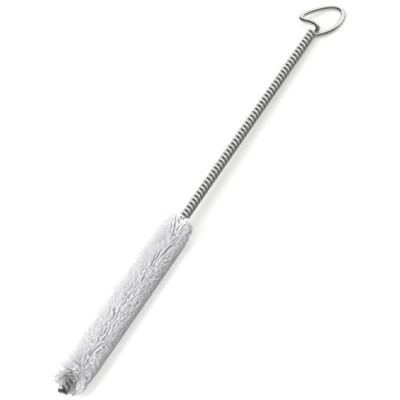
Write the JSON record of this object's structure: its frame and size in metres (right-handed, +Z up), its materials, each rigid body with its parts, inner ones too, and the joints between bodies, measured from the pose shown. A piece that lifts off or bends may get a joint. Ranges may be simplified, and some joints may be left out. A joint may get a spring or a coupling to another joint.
{
  "type": "bottle brush",
  "caption": "Bottle brush: a steel wire folded into a finger ring and twisted into a long stem that grips a slim cylinder of white nylon bristles.",
  "frame": {"origin": "on the table, below the middle of the brush", "axes": "+Y along the brush from its tip to its ring, +Z up from the table, +X to the right as seen from the tip"},
  "size_m": [0.0182, 0.3025, 0.0184],
  "materials": {
    "steel_wire": "satin",
    "nylon_bristle": "satin"
  },
  "bodies": {
    "root": {"twisted_wire": "steel_wire", "bristle_spiral": "nylon_bristle"}
  },
  "joints": []
}
